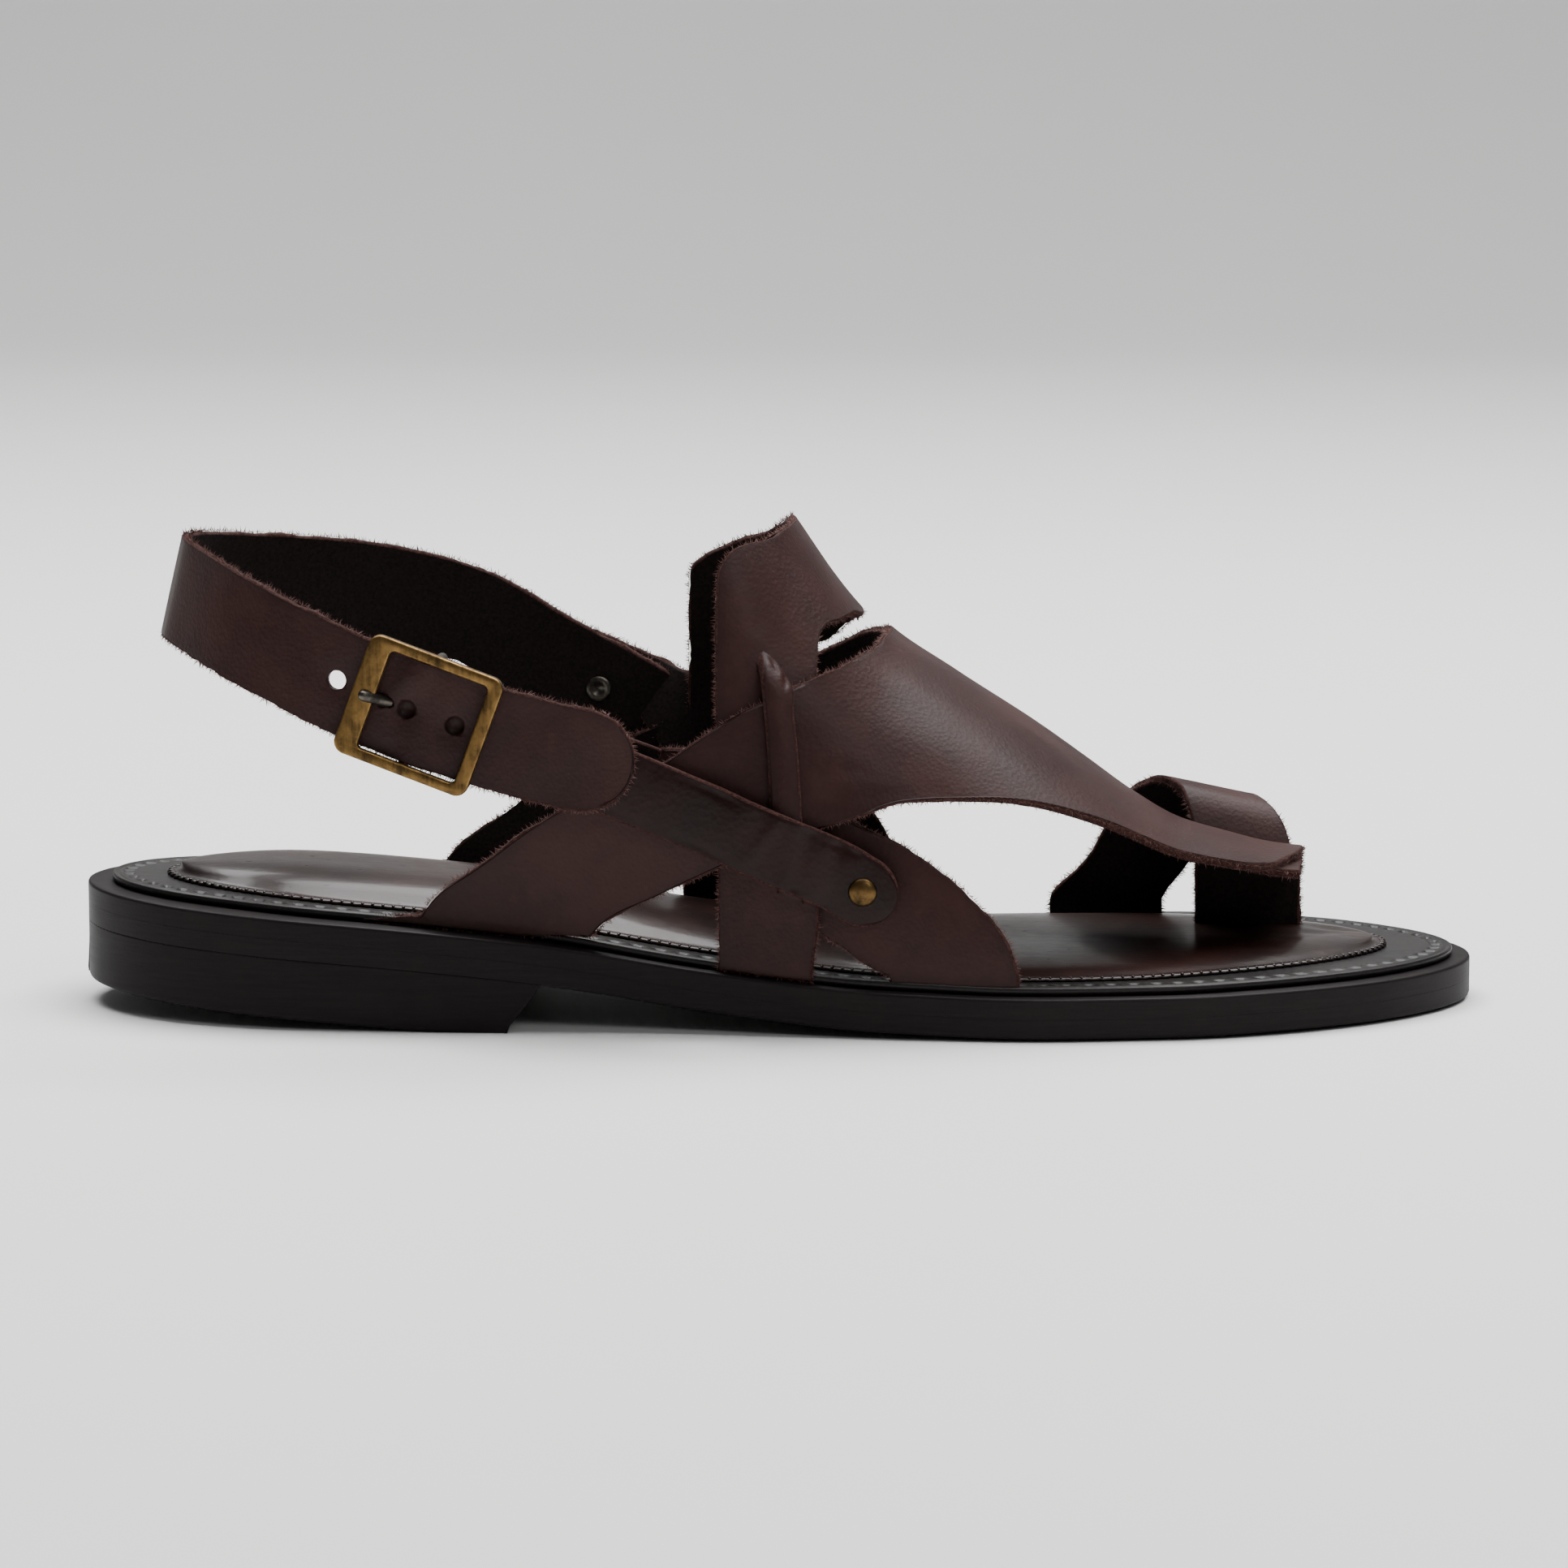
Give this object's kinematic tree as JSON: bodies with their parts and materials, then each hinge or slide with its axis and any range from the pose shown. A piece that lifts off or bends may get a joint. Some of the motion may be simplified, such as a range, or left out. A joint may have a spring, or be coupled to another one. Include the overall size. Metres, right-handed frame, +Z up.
{
  "type": "sandal",
  "caption": "Right leather sandal: wraparound vamp threaded under a bridged instep strap, big toe ring, buckled heel strap, padded footbed on a low-heeled sole.",
  "frame": {"origin": "centre of the bounding box, on the floor plane that the heel and the forefoot rest on", "axes": "+X from heel to toe, +Y towards the big toe (inner) side, +Z up"},
  "size_m": [0.2858, 0.0968, 0.0995],
  "materials": {
    "sole_edge": "burnished, near black",
    "board_leather": "tooled, dark satin",
    "pad_leather": "polished",
    "strap_leather": "smooth satin grain, napped inside",
    "antique_brass": "antiqued, brushed",
    "dark_brass": "blackened"
  },
  "bodies": {
    "root": {"outsole": "sole_edge", "midsole": "sole_edge", "heel": "sole_edge", "footbed_board": "board_leather", "footbed_pad": "pad_leather", "upper": "strap_leather", "heel_strap": "strap_leather", "buckle_strap": "strap_leather", "buckle_frame": "antique_brass", "buckle_prong": "dark_brass", "rivet_lateral": "antique_brass", "rivet_medial": "antique_brass"}
  },
  "joints": []
}
